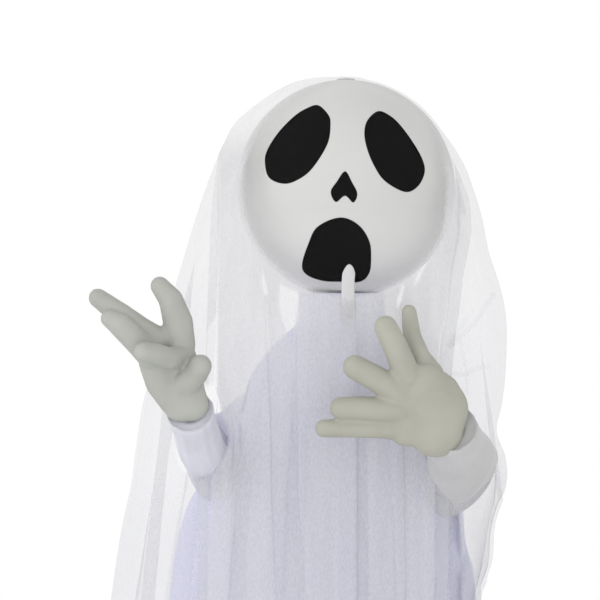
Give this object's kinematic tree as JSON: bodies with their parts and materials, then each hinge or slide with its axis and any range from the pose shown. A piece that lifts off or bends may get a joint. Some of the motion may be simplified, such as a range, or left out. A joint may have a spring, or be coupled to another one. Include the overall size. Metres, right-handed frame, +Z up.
{
  "type": "animated ghost figure",
  "caption": "Free-standing party ghost: a round head under a sheer veil, outstretched posable arms with moulded hands, and a robe over a battery-powered stand.",
  "frame": {"origin": "centre of the underside of the round base plate, on the floor", "axes": "+Z up; the figure faces -Y; its right hand is on the -X side"},
  "size_m": [0.5764, 0.4802, 1.22],
  "materials": {
    "base_steel": "matt black powder coat",
    "tube_steel": "white paint",
    "zinc_steel": "zinc plated",
    "black_plastic": "fine texture",
    "white_plastic": "satin",
    "head_plastic": "matt, slightly fibrous",
    "face_plastic": "matt black",
    "gear_plastic": "natural nylon",
    "hand_vinyl": "soft vinyl, pale grey-green",
    "robe_fabric": "thin woven lining",
    "veil_fabric": "sheer gauze",
    "board": "solder mask",
    "cell": "shrink sleeve"
  },
  "bodies": {
    "stand": {"base_plate": "base_steel", "pole_socket": "base_steel", "base_screw_1": "zinc_steel", "base_screw_2": "zinc_steel", "base_screw_3": "zinc_steel", "pole_lower": "tube_steel", "pole_upper": "tube_steel", "pole_joiner": "zinc_steel", "torso_front_shell": "black_plastic", "torso_rear_shell": "black_plastic", "shell_screw_1": "zinc_steel", "shell_screw_2": "zinc_steel", "speaker": "black_plastic", "motor_bracket": "zinc_steel", "head_gearbox": "black_plastic", "head_motor": "zinc_steel", "arm_gearbox": "black_plastic", "arm_motor": "zinc_steel", "neck_bush": "gear_plastic", "neck_tube": "black_plastic", "right_shoulder_bush": "gear_plastic", "left_shoulder_bush": "gear_plastic", "inner_robe": "robe_fabric", "battery_box": "black_plastic", "cell_1": "cell", "cell_2": "cell", "cell_3": "cell", "control_board": "board", "power_lead": "black_plastic", "lead_clip_1": "black_plastic", "lead_clip_2": "black_plastic"},
    "head": {"neck_shaft": "zinc_steel", "shaft_collar": "zinc_steel", "head_gear": "gear_plastic", "head_socket": "black_plastic", "crown_rivet": "white_plastic", "head_front_shell": "head_plastic", "head_rear_shell": "head_plastic", "right_eye_panel": "face_plastic", "left_eye_panel": "face_plastic", "nose_panel": "face_plastic", "mouth_panel": "face_plastic", "outer_veil": "veil_fabric"},
    "head_drive": {"head_pinion": "gear_plastic"},
    "arms": {"shoulder_shaft": "zinc_steel", "arm_gear": "gear_plastic", "right_upper_arm": "black_plastic", "left_upper_arm": "black_plastic", "right_elbow_pin": "zinc_steel", "left_elbow_pin": "zinc_steel", "right_sleeve": "robe_fabric", "left_sleeve": "robe_fabric"},
    "arm_drive": {"arm_pinion": "gear_plastic"},
    "right_forearm": {"right_forearm": "black_plastic"},
    "left_forearm": {"left_forearm": "black_plastic"},
    "right_hand": {"right_hand": "hand_vinyl"},
    "left_hand": {"left_hand": "hand_vinyl"},
    "battery_door": {"battery_door": "black_plastic"},
    "power_switch": {"power_switch": "white_plastic"},
    "demo_button": {"demo_button": "white_plastic"}
  },
  "joints": [
    {"name": "head_turn", "type": "hinge", "parent": "stand", "child": "head", "pos_m": [0, 0, 0.9044], "axis": [0, 0, 1], "range_deg": [-30, 30], "deforming": ["outer_veil"]},
    {"name": "head_pinion_spin", "type": "hinge", "parent": "stand", "child": "head_drive", "pos_m": [0, 0.03, 0.8869], "axis": [0, 0, 1], "range_deg": [-92, 92]},
    {"name": "arm_lift", "type": "hinge", "parent": "stand", "child": "arms", "pos_m": [0, 0, 0.8614], "axis": [-1, 0, 0], "range_deg": [-10, 20], "deforming": ["outer_veil", "inner_robe", "right_sleeve", "left_sleeve"]},
    {"name": "arm_pinion_spin", "type": "hinge", "parent": "stand", "child": "arm_drive", "pos_m": [0.033, 0, 0.83515], "axis": [-1, 0, 0], "range_deg": [-55, 55]},
    {"name": "right_elbow_bend", "type": "hinge", "parent": "arms", "child": "right_forearm", "pos_m": [-0.13977, -0.01925, 0.76856], "axis": [-0.8261, 0.3781, 0.4179], "range_deg": [-20, 20], "deforming": ["right_sleeve", "outer_veil"]},
    {"name": "left_elbow_bend", "type": "hinge", "parent": "arms", "child": "left_forearm", "pos_m": [0.12733, -0.02112, 0.76252], "axis": [-0.9187, -0.0536, -0.3912], "range_deg": [-20, 10], "deforming": ["left_sleeve", "outer_veil"]},
    {"name": "right_wrist_twist", "type": "hinge", "parent": "right_forearm", "child": "right_hand", "pos_m": [-0.17642, -0.18531, 0.84635], "axis": [-0.196, -0.888, 0.416], "range_deg": [-30, 30]},
    {"name": "left_wrist_twist", "type": "hinge", "parent": "left_forearm", "child": "left_hand", "pos_m": [0.10938, -0.19517, 0.82851], "axis": [-0.096, -0.9307, 0.3529], "range_deg": [-30, 30]},
    {"name": "battery_door_open", "type": "hinge", "parent": "stand", "child": "battery_door", "pos_m": [0, 0.0604, 0.1178], "axis": [-1, 0, 0], "range_deg": [0, 95]},
    {"name": "power_switch_slide", "type": "slide", "parent": "stand", "child": "power_switch", "axis": [0, 0, 1], "range_m": [0, 0.005]},
    {"name": "demo_button_press", "type": "slide", "parent": "stand", "child": "demo_button", "axis": [1, 0, 0], "range_m": [0, 0.0015], "stiffness_N_per_m": 400}
  ],
  "couplings": [
    {"joint": "head_pinion_spin", "follows": "head_turn", "ratio": -3},
    {"joint": "arm_pinion_spin", "follows": "arm_lift", "ratio": -2.5}
  ]
}
